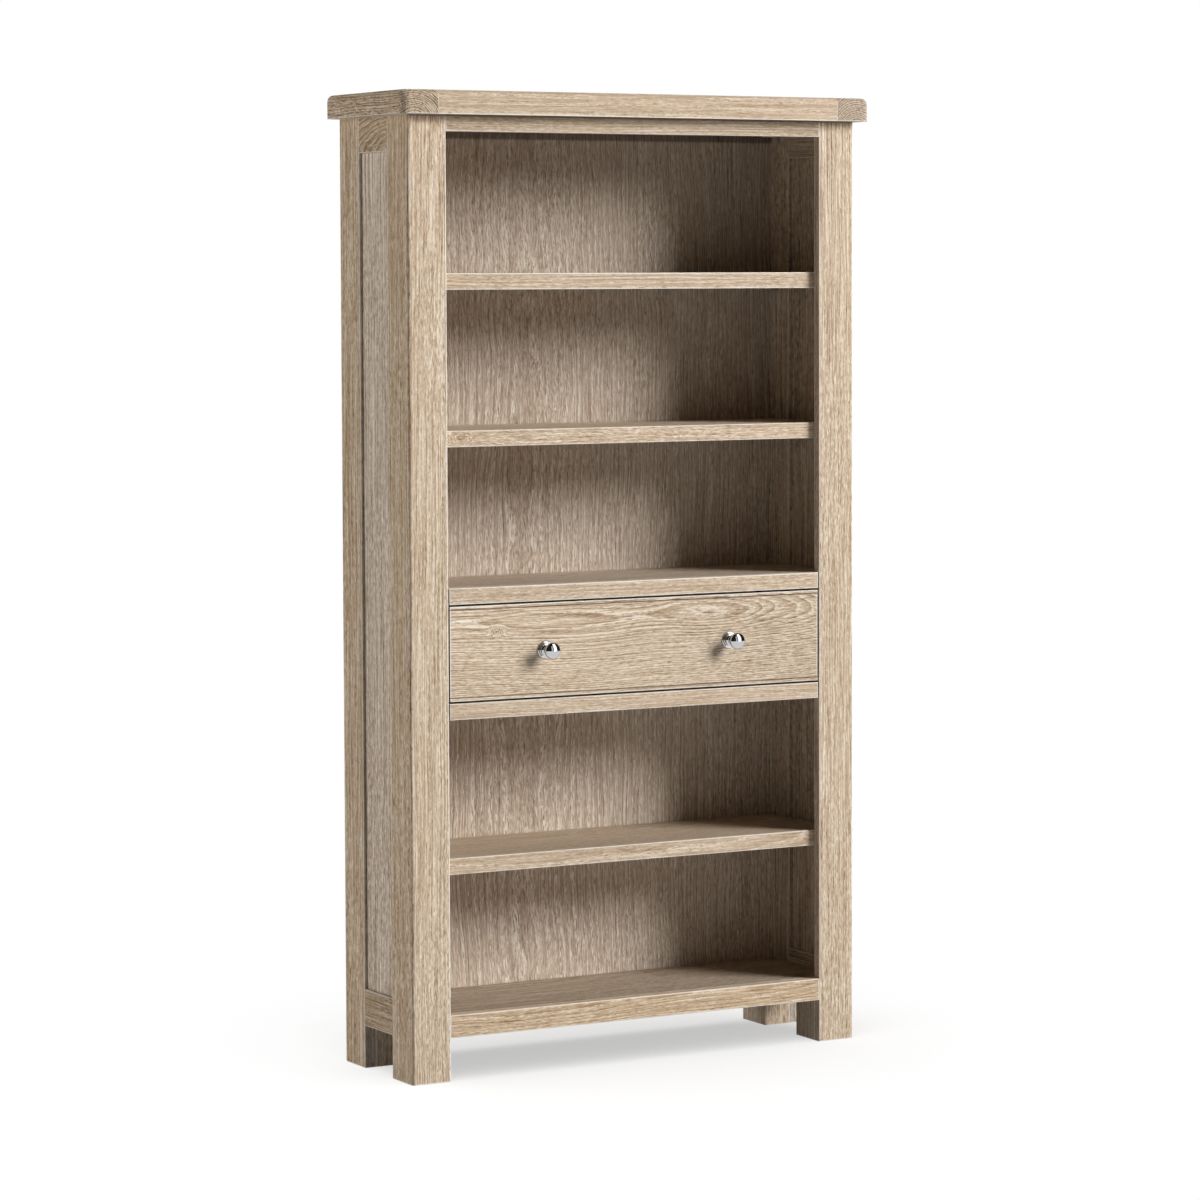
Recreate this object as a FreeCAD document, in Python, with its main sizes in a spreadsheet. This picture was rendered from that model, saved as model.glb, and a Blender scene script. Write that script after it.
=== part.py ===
import FreeCAD, Part
import os
import re
import Sketcher
from FreeCAD import Placement, Rotation, Vector

# A tall oak bookcase with one drawer, standing on the floor.
# X runs to the right, Y to the back and Z up.
# The origin is on the floor, under the middle of the whole outline.

doc = FreeCAD.newDocument("bookcase")
sheet = doc.addObject("Spreadsheet::Sheet", "Sizes")

# Counts: bays one above another, loose shelves, screws in a row across the back and along a cleat.
BAYS = 5
LOOSE_SHELVES = 3
BACK_SCREWS = 4
CLEAT_SCREWS = 3
# How far up the drawer's corners its dowels lie, as shares of the side's height.
DOWEL_LEVELS = (0.25, 0.75)

# Driving sizes, in millimetres.
SIZES = {
    # the whole piece
    "overall_height": 1800,
    "carcass_width": 946,
    "carcass_depth": 283,
    # the top
    "top_thickness": 43.5,
    "top_overhang_side": 22,
    "top_overhang_front": 24,
    "top_overhang_back": 15,
    "top_edge_radius": 12,
    "top_corner_inside_radius": 4,
    "end_board_width": 74,
    "tongue_length": 15,
    "tongue_thickness": 12,
    "tongue_setback": 25,
    # the legs, each an angle of two mitred boards over a foot block
    "leg_width": 77,
    "leg_depth": 84,
    "leg_board_thickness": 17,
    "side_board_thickness": 22,
    "leg_round": 5,
    "arris": 1.2,
    # rails between the legs
    "foot_clearance": 80,
    "bottom_rail_height": 41.5,
    "rail_height": 30,
    "rail_thickness": 22,
    "upper_frame_rail": 65,
    "lower_frame_rail": 68,
    # framed side panels and the back
    "panel_thickness": 9,
    "panel_recess": 6,
    "tenon_length": 8,
    "tenon_end_gap": 1,
    "groove_clearance": 0.1,
    "back_thickness": 5,
    # shelves
    "shelf_thickness": 30,
    "shelf_side_clearance": 1,
    "shelf_depth_clearance": 0.5,
    "board_thickness": 18,
    "pin_radius": 3,
    "pin_length": 18,
    "pin_hole_depth": 9,
    "pin_clearance": 0.05,
    "post_inset": 42,
    # dowels
    "dowel_radius": 4,
    "rail_dowel_length": 34,
    "board_dowel_length": 28,
    "board_dowel_in_side": 12,
    "dowel_clearance": 0.05,
    # the drawer
    "drawer_opening": 180,
    "drawer_gap": 3.5,
    "drawer_rail_gap": 2.2,
    "drawer_front_thickness": 20,
    "bead_height": 5.2,
    "quirk_height": 2.4,
    "quirk_depth": 2.6,
    "field_recess": 0.8,
    "drawer_side_thickness": 12,
    "drawer_bottom_thickness": 6,
    "drawer_bottom_up": 10,
    "drawer_groove_depth": 6,
    "drawer_dowel_radius": 3,
    "drawer_dowel_length": 24,
    # what the drawer runs on
    "runner_clearance": 0.3,
    "guide_clearance": 0.5,
    "runner_inside_width": 10,
    "guide_height": 30,
    "kicker_height": 28.5,
    "kicker_clearance": 3,
    "front_clearance": 2,
    "stop_clearance": 0.3,
    "stop_thickness": 10,
    "stop_width": 20,
    "catch_width": 40,
    "catch_thickness": 16,
    "catch_drop": 12,
    # the knobs, turned, measured along and out from the axis
    "knob_spacing": 394,
    "rose_radius": 16.3,
    "rose_thickness": 2.6,
    "rose_round": 1.6,
    "rose_shelf": 3.6,
    "ring_height": 1.6,
    "ring_round": 1,
    "ring_land": 0.6,
    "neck_radius": 6,
    "throat_land": 1.1,
    "head_radius": 15.6,
    "head_rim_radius": 5,
    "head_dome_rise": 3,
    "head_reach": 29.5,
    # fixings
    "knob_screw_radius": 2,
    "knob_screw_in_knob": 12,
    "screw_head_radius": 4,
    "screw_head_height": 2.4,
    "screw_clearance": 0.05,
    "cleat_size": 22,
    "top_screw_radius": 2.2,
    "top_screw_in_top": 20,
    "top_screw_inset": 30,
    "back_screw_radius": 1.8,
    "back_screw_length": 25,
    "back_screw_inset": 90,
}

# Places and lengths that follow from the sizes.
PLACES = {
    "half_width": "carcass_width / 2",
    "inner_x": "half_width - side_board_thickness",
    "opening_x": "half_width - leg_width",
    "knob_length": "head_reach + head_rim_radius + head_dome_rise",
    "knob_projection": "knob_length - field_recess",
    "front_plane": "(knob_projection - carcass_depth - top_overhang_back) / 2",
    "rear_plane": "front_plane + carcass_depth",
    "behind_leg_board": "front_plane + leg_board_thickness",
    "behind_rail": "front_plane + rail_thickness",
    "rear_boards": "rear_plane - leg_board_thickness",
    "back_face": "rear_boards - back_thickness",
    "front_post": "front_plane + post_inset",
    "rear_post": "rear_plane - post_inset",
    "frame_front": "front_plane + leg_depth",
    "frame_rear": "rear_plane - leg_depth",
    "top_underside": "overall_height - top_thickness",
    "top_x": "half_width + top_overhang_side",
    "top_joint_x": "top_x - end_board_width",
    "top_front": "front_plane - top_overhang_front",
    "top_rear": "rear_plane + top_overhang_back",
    "top_corner_radius": "top_edge_radius + top_corner_inside_radius",
    "groove_depth": "tenon_length + tenon_end_gap",
    "tongue_bottom": "top_underside + (top_thickness - tongue_thickness) / 2",
    "top_rail_bottom": "top_underside - rail_height",
    "upper_frame_bottom": "top_underside - upper_frame_rail",
    "lower_frame_top": "foot_clearance + lower_frame_rail",
    "bottom_shelf_top": "foot_clearance + bottom_rail_height",
    "bottom_board_under": "bottom_shelf_top - board_thickness",
    "drawer_band": "drawer_opening + 2 * rail_height",
    "loose_shelves": f"{LOOSE_SHELVES} * shelf_thickness",
    "room_for_bays": "top_rail_bottom - bottom_shelf_top - drawer_band - loose_shelves",
    "shelf_gap": f"room_for_bays / {BAYS}",
    "lower_shelf_under": "bottom_shelf_top + shelf_gap",
    "divider_under": "lower_shelf_under + shelf_thickness + shelf_gap",
    "divider_top": "divider_under + board_thickness",
    "drawer_floor": "divider_under + rail_height",
    "drawer_ceiling": "drawer_floor + drawer_opening",
    "fixed_shelf_top": "drawer_ceiling + rail_height",
    "fixed_board_under": "fixed_shelf_top - board_thickness",
    "middle_shelf_under": "fixed_shelf_top + shelf_gap",
    "upper_shelf_under": "middle_shelf_under + shelf_thickness + shelf_gap",
    "shelf_x": "inner_x - shelf_side_clearance",
    "shelf_front": "behind_leg_board + shelf_depth_clearance",
    "shelf_rear": "back_face - shelf_depth_clearance",
    "panel_outer_x": "half_width - panel_recess",
    "panel_inner_x": "panel_outer_x - panel_thickness",
    "drawer_x": "opening_x - drawer_gap",
    "drawer_rail_x": "opening_x - drawer_rail_gap",
    "drawer_front_under": "drawer_floor + drawer_gap",
    "drawer_front_top": "drawer_ceiling - drawer_gap",
    "drawer_front_rear": "front_plane + drawer_front_thickness",
    "drawer_rear": "back_face - stop_thickness - stop_clearance",
    "drawer_back_front": "drawer_rear - drawer_side_thickness",
    "drawer_side_under": "drawer_floor + runner_clearance",
    "kicker_under": "fixed_board_under - kicker_height",
    "drawer_side_top": "kicker_under - kicker_clearance",
    "drawer_side_height": "drawer_side_top - drawer_side_under",
    "drawer_side_inner": "drawer_x - drawer_side_thickness",
    "drawer_bottom_z": "drawer_side_under + drawer_bottom_up",
    "drawer_bottom_top": "drawer_bottom_z + drawer_bottom_thickness",
    "drawer_bottom_x": "drawer_side_inner + drawer_groove_depth - groove_clearance",
    "drawer_groove_x": "drawer_side_inner + drawer_groove_depth",
    "runner_x": "drawer_side_inner - runner_inside_width",
    "guide_x": "drawer_x + guide_clearance",
    "track_front": "max(behind_rail; drawer_front_rear + front_clearance)",
    "catch_under": "drawer_side_top - catch_drop",
    "catch_rear": "track_front + catch_thickness",
    "knob_x": "knob_spacing / 2",
    "knob_z": "(drawer_front_under + drawer_front_top) / 2",
    "ring_radius": "rose_radius - rose_shelf",
    "ring_top": "rose_thickness + ring_height",
    "cove_radius": "ring_radius - ring_round - ring_land - neck_radius",
    "rim_centre": "head_radius - head_rim_radius",
    "head_back": "head_reach - head_rim_radius",
    "throat_radius": "rim_centre - throat_land - neck_radius",
    "head_depth": "head_rim_radius + head_dome_rise",
    "dome_radius": "(rim_centre^2 + head_depth^2 - head_rim_radius^2) / (2 * head_dome_rise)",
    "dome_centre": "knob_length - dome_radius",
    "rim_to_dome": "dome_radius / (dome_radius - head_rim_radius)",
    "field_plane": "front_plane + field_recess",
    "cleat_under": "top_underside - cleat_size",
    "cleat_x": "inner_x - cleat_size",
    "back_screw_x": "inner_x - back_screw_inset",
    "back_screw_step": f"2 * back_screw_x / {BACK_SCREWS - 1}",
    "top_screw_y": "track_front + top_screw_inset",
    "top_screw_step": f"(back_face - top_screw_inset - top_screw_y) / {CLEAT_SCREWS - 1}",
}

# Smaller than any gap between two faces that are meant to be apart.
SAME_PLACE = 0.001

for row, (alias, size) in enumerate(SIZES.items(), start=1):
    sheet.set(f"A{row}", alias.replace("_", " "))
    sheet.set(f"B{row}", str(size))
    sheet.setAlias(f"B{row}", alias)
doc.recompute()


def spell(formula):
    """The formula with each size as its cell and each place written out."""
    def word(match):
        name = match.group(0)
        if name in PLACES:
            return "(" + spell(PLACES[name]) + ")"
        return "Sizes." + name if name in SIZES else name
    return re.sub(r"[a-z][a-z_]*", word, formula)


def number(formula):
    """The formula's value as the sheet stands."""
    return float(sheet.evalExpression(spell(formula)))


def bind(item, prop, formula):
    item.setExpression(prop, spell(formula))


def bind_base(item, point):
    for axis, formula in zip("xyz", point):
        bind(item, f"Placement.Base.{axis}", formula)


def less(a, b):
    return f"({a}) - ({b})"


# Where each body's own corner lies in the bookcase, by label.
corners = {}
pieces = []

# Turns that lay a cylinder, made along +Z, along another direction.
TURNS = {
    "+x": Rotation(Vector(0, 1, 0), 90),
    "-x": Rotation(Vector(0, 1, 0), -90),
    "+y": Rotation(Vector(1, 0, 0), -90),
    "-y": Rotation(Vector(1, 0, 0), 90),
    "+z": Rotation(),
}


def new_body(label, corner):
    body = doc.addObject("PartDesign::Body", label)
    body.Label = label
    bind_base(body, corner)
    corners[label] = corner
    pieces.append(body)
    return body


def own_point(body, point):
    return [less(here, corner) for here, corner in zip(point, corners[body.Label])]


def box_feature(body, kind, low, high):
    feature = body.newObject(f"PartDesign::{kind}Box", f"{body.Label}_{kind.lower()}")
    for prop, a, b in zip(("Length", "Width", "Height"), low, high):
        bind(feature, prop, less(b, a))
    bind_base(feature, own_point(body, low))
    return feature


def board(label, low, high):
    """A straight board between two corners of the bookcase."""
    body = new_body(label, low)
    box_feature(body, "Additive", low, high)
    return body


def add_box(body, low, high):
    return box_feature(body, "Additive", low, high)


def cut_box(body, low, high):
    return box_feature(body, "Subtractive", low, high)


def round_feature(body, kind, shape, point, direction, sizes):
    """A round form that starts at a point of the bookcase and runs in one direction."""
    feature = body.newObject(f"PartDesign::{kind}{shape}", f"{body.Label}_{shape.lower()}")
    feature.Placement = Placement(Vector(), TURNS[direction])
    for prop, formula in sizes.items():
        bind(feature, prop, formula)
    bind_base(feature, own_point(body, point))
    return feature


def bore(body, point, direction, radius, depth):
    sizes = {"Radius": radius, "Height": depth}
    return round_feature(body, "Subtractive", "Cylinder", point, direction, sizes)


def lies_on(box, side, whole):
    """Whether an edge's box lies flat on one side of the whole shape's box."""
    low, high = side[0].upper() + "Min", side[0].upper() + "Max"
    near, far = (low, high) if side[1] == "-" else (high, low)
    return abs(getattr(box, far) - getattr(whole, near)) < SAME_PLACE


def edges_on(body, *corner_sides):
    """Names of the edges that lie on all the named sides of the body, such as "y- z+"."""
    doc.recompute()
    shape = body.Tip.Shape
    whole = shape.BoundBox
    names = []
    for index, edge in enumerate(shape.Edges, start=1):
        for sides in corner_sides:
            if all(lies_on(edge.BoundBox, side, whole) for side in sides.split()):
                names.append(f"Edge{index}")
                break
    return names


def ease(body, radius, *corner_sides):
    """Rounds the edges that lie on the named sides."""
    base = body.Tip
    names = edges_on(body, *corner_sides)
    fillet = body.newObject("PartDesign::Fillet", f"{body.Label}_eased")
    fillet.Base = (base, names)
    bind(fillet, "Radius", radius)
    return fillet


def plane_of(body, role):
    return next(item for item in body.Origin.OriginFeatures if item.Role == role)


def place_vertex(sketch, edge, end, point, skip=None):
    """Holds one end of a sketch edge at a point, both from the sketch's origin."""
    for axis, formula in zip("XY", point):
        if axis == skip:
            continue
        distance = number(formula)
        if abs(distance) < SAME_PLACE:
            axis_line = -2 if axis == "X" else -1
            sketch.addConstraint(Sketcher.Constraint("PointOnObject", edge, end, axis_line))
            continue
        name = f"{axis.lower()}_{edge}_{end}"
        index = sketch.addConstraint(Sketcher.Constraint("Distance" + axis, -1, 1, edge, end, distance))
        sketch.renameConstraint(index, name)
        bind(sketch, f"Constraints.{name}", formula)


def outline(body, role, points, centres=None):
    """A closed sketch through points, with an arc about a centre after each point that has one."""
    centres = centres or {}
    sketch = body.newObject("Sketcher::SketchObject", f"{body.Label}_outline")
    sketch.AttachmentSupport = (plane_of(body, role), [""])
    sketch.MapMode = "FlatFace"
    spots = [Vector(number(x), number(y), 0) for x, y in points]
    ends = []
    for i, start in enumerate(spots):
        finish = spots[(i + 1) % len(spots)]
        if i not in centres:
            ends.append((sketch.addGeometry(Part.LineSegment(start, finish)), 1, 2))
            continue
        middle = Vector(number(centres[i][0]), number(centres[i][1]), 0)
        turns_left = (start - middle).cross(finish - middle).z > 0
        first, last = (start, finish) if turns_left else (finish, start)
        circle = Part.Circle(middle, Vector(0, 0, 1), (start - middle).Length)
        arc = Part.ArcOfCircle(circle, circle.parameter(first), circle.parameter(last))
        index = sketch.addGeometry(arc)
        ends.append((index, 1, 2) if turns_left else (index, 2, 1))
    for i, (edge, _, last) in enumerate(ends):
        following, first, _ = ends[(i + 1) % len(ends)]
        sketch.addConstraint(Sketcher.Constraint("Coincident", edge, last, following, first))
    for i, (edge, first, _) in enumerate(ends):
        before = (i - 1) % len(ends)
        skip = None
        if before in centres:
            middle = Vector(number(centres[before][0]), number(centres[before][1]), 0)
            reach = spots[i] - middle
            skip = "X" if abs(reach.x) > abs(reach.y) else "Y"
        place_vertex(sketch, edge, first, points[i], skip)
        if i in centres:
            place_vertex(sketch, edge, 3, centres[i])
    return sketch


def pad(body, sketch, length):
    feature = body.newObject("PartDesign::Pad", f"{body.Label}_pad")
    feature.Profile = sketch
    bind(feature, "Length", length)
    sketch.Visibility = False
    return feature


def group(label, members):
    """Alike small parts kept together as separate solids."""
    item = doc.addObject("Part::Compound", label)
    item.Label = label
    item.Links = members
    pieces.append(item)
    return item


def rod(name, point, direction, radius, length):
    item = doc.addObject("Part::Cylinder", name)
    item.Placement = Placement(Vector(), TURNS[direction])
    bind(item, "Radius", radius)
    bind(item, "Height", length)
    bind_base(item, point)
    return item


def moved(point, direction, distance):
    """The point a distance further on in a direction."""
    axis = "xyz".index(direction[1])
    result = list(point)
    result[axis] = f"({point[axis]}) {direction[0]} ({distance})"
    return result


def screw(name, point, direction, radius, length):
    """A screw whose head seats at the point and whose shank runs in the direction."""
    back = ("-" if direction[0] == "+" else "+") + direction[1]
    shank = rod(name + "_shank", point, direction, radius, length)
    head_start = moved(point, back, "screw_head_height")
    head = rod(name + "_head", head_start, direction, "screw_head_radius", "screw_head_height")
    fused = doc.addObject("Part::Fuse", name)
    fused.Base = head
    fused.Tool = shank
    return fused


SIDES = {"left": "-", "right": "+"}


def side_box(side, x_near, x_far, low, high):
    """Low and high corners of a box on one side, from two distances from the middle, near before far."""
    if side == "left":
        return ([f"-({x_far})"] + low, [f"-({x_near})"] + high)
    return ([x_near] + low, [x_far] + high)


# Legs
def leg_corner_points(board_kind):
    """The mitred board's outline from the leg's outer corner, with the arc's start and centre."""
    mitre_out = ("leg_round * (1 - cos(45))", "leg_round * (1 - cos(45))")
    mitre_in = ("side_board_thickness", "leg_board_thickness")
    centre = ("leg_round", "leg_round")
    if board_kind == "face":
        inner_edge = [("leg_width", "0"), ("leg_width", "leg_board_thickness")]
        return [mitre_out, ("leg_round", "0")] + inner_edge + [mitre_in], {0: centre}
    inner_edge = [("side_board_thickness", "leg_depth"), ("0", "leg_depth")]
    return [("0", "leg_round"), mitre_out, mitre_in] + inner_edge, {0: centre}


def leg_board(side, end, board_kind):
    wide, deep = "side_board_thickness", "leg_depth"
    if board_kind == "face":
        wide, deep = "leg_width", "leg_board_thickness"
    points, centres = leg_corner_points(board_kind)

    def flip(point):
        x = point[0] if side == "left" else less(wide, point[0])
        y = point[1] if end == "front" else less(deep, point[1])
        return x, y

    low_x = "-half_width" if side == "left" else less("half_width", wide)
    low_y = "front_plane" if end == "front" else less("rear_plane", deep)
    body = new_body(f"{side}_{end}_leg_{board_kind}_board", [low_x, low_y, "0"])
    sketch = outline(body, "XY_Plane", [flip(p) for p in points], {i: flip(c) for i, c in centres.items()})
    pad(body, sketch, "top_underside")
    away_x = "x+" if side == "left" else "x-"
    out_x = "x-" if side == "left" else "x+"
    out_y = "y-" if end == "front" else "y+"
    away_y = "y+" if end == "front" else "y-"
    eased = f"{away_x} {out_y}" if board_kind == "face" else f"{out_x} {away_y}"
    ease(body, "arris", eased)
    return body


def leg(side, end):
    face = leg_board(side, end, "face")
    stile = leg_board(side, end, "side")
    y_low, y_high = ("behind_leg_board", "frame_front") if end == "front" else ("frame_rear", "rear_boards")
    low, high = side_box(side, "opening_x", "inner_x", [y_low, "0"], [y_high, "bottom_board_under"])
    foot = board(f"{side}_{end}_foot_block", low, high)
    inner_side = "x+" if side == "left" else "x-"
    far_side = "y+" if end == "front" else "y-"
    ease(foot, "arris", f"{inner_side} {far_side}")
    # The side board's groove takes the panel and the rails' tenons.
    if end == "front":
        y_groove = ["frame_front - groove_depth", "frame_front + arris"]
    else:
        y_groove = ["frame_rear - arris", "frame_rear + groove_depth"]
    low, high = side_box(side, "panel_inner_x - groove_clearance", "panel_outer_x + groove_clearance",
                         [y_groove[0], "foot_clearance"], [y_groove[1], "top_underside"])
    cut_box(stile, low, high)
    return face, stile, foot


legs = {(side, end): leg(side, end) for side in SIDES for end in ("front", "rear")}


# Framed sides
def frame_rail(side, level, z_low, z_high):
    low, high = side_box(side, "inner_x", "half_width", ["frame_front", z_low], ["frame_rear", z_high])
    rail = board(f"{side}_{level}_side_rail", low, high)
    panel_edge = "z-" if level == "upper" else "z+"
    out_x = "x-" if side == "left" else "x+"
    ease(rail, "arris", f"{out_x} {panel_edge}")
    for y_low, y_high in (("frame_front - tenon_length", "frame_front"),
                          ("frame_rear", "frame_rear + tenon_length")):
        low, high = side_box(side, "panel_inner_x", "panel_outer_x", [y_low, z_low], [y_high, z_high])
        add_box(rail, low, high)
    if level == "upper":
        z_groove = [z_low, f"{z_low} + groove_depth"]
    else:
        z_groove = [f"{z_high} - groove_depth", z_high]
    low, high = side_box(side, "panel_inner_x - groove_clearance", "panel_outer_x + groove_clearance",
                         ["frame_front - tenon_length", z_groove[0]],
                         ["frame_rear + tenon_length", z_groove[1]])
    cut_box(rail, low, high)
    return rail


def side_frame(side):
    frame_rail(side, "upper", "upper_frame_bottom", "top_underside")
    frame_rail(side, "lower", "foot_clearance", "lower_frame_top")
    low, high = side_box(side, "panel_inner_x", "panel_outer_x",
                         ["frame_front - tenon_length", "lower_frame_top - tenon_length"],
                         ["frame_rear + tenon_length", "upper_frame_bottom + tenon_length"])
    board(f"{side}_side_panel", low, high)


for side in SIDES:
    side_frame(side)


# Rails across the front and the back; those round the drawer stop short of the legs by a shadow gap
def cross_rail(label, end_x, y_low, y_high, z_low, z_high, outer_side):
    rail = board(label, [f"-{end_x}", y_low, z_low], [end_x, y_high, z_high])
    ease(rail, "arris", outer_side)
    return rail


front_rails = {
    "front_top_rail": ("opening_x", "top_rail_bottom", "top_underside"),
    "drawer_top_rail": ("drawer_rail_x", "drawer_ceiling", "fixed_shelf_top"),
    "drawer_bottom_rail": ("drawer_rail_x", "divider_under", "drawer_floor"),
    "front_bottom_rail": ("opening_x", "foot_clearance", "bottom_shelf_top"),
}
rear_rails = {
    "rear_top_rail": ("opening_x", "upper_frame_bottom", "top_underside"),
    "rear_bottom_rail": ("opening_x", "foot_clearance", "lower_frame_top"),
}
for label, (end_x, z_low, z_high) in front_rails.items():
    rail = cross_rail(label, end_x, "front_plane", "behind_rail", z_low, z_high, "y-")
    front_rails[label] = (rail, z_low, z_high)
for label, (end_x, z_low, z_high) in rear_rails.items():
    rail = cross_rail(label, end_x, "rear_boards", "rear_plane", z_low, z_high, "y+")
    rear_rails[label] = (rail, z_low, z_high)


# Fixed boards and the back panel
fixed_boards = {
    "bottom_board": ("bottom_board_under", "bottom_shelf_top"),
    "drawer_divider_board": ("divider_under", "divider_top"),
    "fixed_shelf_board": ("fixed_board_under", "fixed_shelf_top"),
}
for label, (z_low, z_high) in fixed_boards.items():
    body = board(label, ["-inner_x", "behind_rail", z_low], ["inner_x", "back_face", z_high])
    fixed_boards[label] = (body, z_low, z_high)

back_panel = board("back_panel", ["-inner_x", "back_face", "bottom_board_under"],
                   ["inner_x", "rear_boards", "top_underside"])


# Dowels between the rails and the leg boards, and between the fixed boards and the side boards
def rail_dowels():
    members = []
    half_length = "rail_dowel_length / 2"
    rows = [(rail, "front", "front_plane + leg_board_thickness / 2") for rail in front_rails.values()]
    rows += [(rail, "rear", "rear_plane - leg_board_thickness / 2") for rail in rear_rails.values()]
    for (rail, z_low, z_high), end, y in rows:
        z = f"({z_low} + {z_high}) / 2"
        for side, sign in SIDES.items():
            joint = f"{sign}opening_x"
            inwards = "+x" if side == "left" else "-x"
            outwards = "-x" if side == "left" else "+x"
            bore_radius = "dowel_radius + dowel_clearance"
            bore(rail, [joint, y, z], inwards, bore_radius, half_length)
            bore(legs[side, end][0], [joint, y, z], outwards, bore_radius, half_length)
            start = moved([joint, y, z], outwards, half_length)
            name = f"rail_dowel_{len(members)}"
            members.append(rod(name, start, inwards, "dowel_radius", "rail_dowel_length"))
    group("rail_dowels", members)


def board_dowels():
    members = []
    in_board = "board_dowel_length - board_dowel_in_side"
    bore_radius = "dowel_radius + dowel_clearance"
    for body, z_low, z_high in fixed_boards.values():
        z = f"({z_low} + {z_high}) / 2"
        for side, sign in SIDES.items():
            inwards = "+x" if side == "left" else "-x"
            outwards = "-x" if side == "left" else "+x"
            for end, y in (("front", "front_post"), ("rear", "rear_post")):
                joint = [f"{sign}inner_x", y, z]
                bore(body, joint, inwards, bore_radius, in_board)
                bore(legs[side, end][1], joint, outwards, bore_radius, "board_dowel_in_side")
                start = moved(joint, outwards, "board_dowel_in_side")
                name = f"board_dowel_{len(members)}"
                members.append(rod(name, start, inwards, "dowel_radius", "board_dowel_length"))
    group("board_dowels", members)


rail_dowels()
board_dowels()


# Loose shelves on pins
def shelves():
    members = []
    shelf_places = {
        "upper_shelf": "upper_shelf_under",
        "middle_shelf": "middle_shelf_under",
        "lower_shelf": "lower_shelf_under",
    }
    for label, z in shelf_places.items():
        shelf = board(label, ["-shelf_x", "shelf_front", z],
                      ["shelf_x", "shelf_rear", f"{z} + shelf_thickness"])
        ease(shelf, "arris", "y-")
        pin_z = f"{z} - pin_radius - pin_clearance"
        for side, sign in SIDES.items():
            inwards = "+x" if side == "left" else "-x"
            outwards = "-x" if side == "left" else "+x"
            for end, y in (("front", "front_post"), ("rear", "rear_post")):
                face = [f"{sign}inner_x", y, pin_z]
                bore(legs[side, end][1], face, outwards, "pin_radius + pin_clearance", "pin_hole_depth")
                start = moved(face, outwards, "pin_hole_depth")
                members.append(rod(f"shelf_pin_{len(members)}", start, inwards, "pin_radius", "pin_length"))
    group("shelf_pins", members)


shelves()


# Runners, guides and kickers for the drawer, and its stops
def drawer_track(side):
    def strip(kind, x_near, z_low, z_high):
        low, high = side_box(side, x_near, "inner_x", ["track_front", z_low], ["back_face", z_high])
        return board(f"{side}_drawer_{kind}", low, high)

    strip("runner", "runner_x", "divider_top", "drawer_floor")
    strip("guide", "guide_x", "drawer_floor", "drawer_floor + guide_height")
    strip("kicker", "runner_x", "kicker_under", "fixed_board_under")


for side in SIDES:
    drawer_track(side)


def rear_stops():
    members = []
    for side in SIDES:
        low, high = side_box(side, "drawer_x - stop_width", "drawer_x",
                             ["drawer_rear + stop_clearance", "drawer_floor"],
                             ["back_face", "drawer_floor + stop_width"])
        block = doc.addObject("Part::Box", f"{side}_rear_stop")
        for prop, a, b in zip(("Length", "Width", "Height"), low, high):
            bind(block, prop, less(b, a))
        bind_base(block, low)
        members.append(block)
    group("drawer_rear_stops", members)


rear_stops()
board("drawer_catch_block", ["-catch_width / 2", "track_front", "catch_under"],
      ["catch_width / 2", "catch_rear", "fixed_board_under"])


# The drawer
def drawer_front():
    """A board whose front face is moulded with a bead and a quirk along its upper and lower edges."""
    body = new_body("drawer_front", ["-drawer_x", "front_plane", "drawer_front_under"])
    tall = "(drawer_front_top - drawer_front_under)"
    quirk_end = "bead_height + quirk_height"
    points = [
        ("0", "0"),
        ("drawer_front_thickness", "0"),
        ("drawer_front_thickness", tall),
        ("0", tall),
        ("0", f"{tall} - bead_height"),
        ("quirk_depth", f"{tall} - bead_height - quirk_height / 2"),
        ("field_recess", f"{tall} - ({quirk_end})"),
        ("field_recess", quirk_end),
        ("quirk_depth", "bead_height + quirk_height / 2"),
        ("0", "bead_height"),
    ]
    pad(body, outline(body, "YZ_Plane", points), "2 * drawer_x")
    ease(body, "arris", "y- z+", "y- z-")
    return body


def mirrored_x(body, low, high, maker):
    for side in SIDES:
        maker(body, *side_box(side, low[0], high[0], low[1:], high[1:]))


front = drawer_front()
groove_low_z = "drawer_bottom_z - groove_clearance"
groove_high_z = "drawer_bottom_top + groove_clearance"
cut_box(front, ["-drawer_groove_x", "drawer_front_rear - drawer_groove_depth", groove_low_z],
        ["drawer_groove_x", "drawer_front_rear", groove_high_z])

drawer_sides = {}
for side in SIDES:
    low, high = side_box(side, "drawer_side_inner", "drawer_x", ["drawer_front_rear", "drawer_side_under"],
                         ["drawer_rear", "drawer_side_top"])
    drawer_sides[side] = board(f"drawer_{side}_side", low, high)
    low, high = side_box(side, "drawer_side_inner", "drawer_groove_x", ["drawer_front_rear", groove_low_z],
                         ["drawer_back_front + drawer_groove_depth", groove_high_z])
    cut_box(drawer_sides[side], low, high)

drawer_back = board("drawer_back", ["-drawer_side_inner", "drawer_back_front", "drawer_side_under"],
                    ["drawer_side_inner", "drawer_rear", "drawer_side_top"])
cut_box(drawer_back, ["-drawer_side_inner", "drawer_back_front", groove_low_z],
        ["drawer_side_inner", "drawer_back_front + drawer_groove_depth", groove_high_z])
in_groove = "(drawer_groove_depth - groove_clearance)"
board("drawer_bottom", ["-drawer_bottom_x", f"drawer_front_rear - {in_groove}", "drawer_bottom_z"],
      ["drawer_bottom_x", f"drawer_back_front + {in_groove}", "drawer_bottom_top"])


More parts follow.
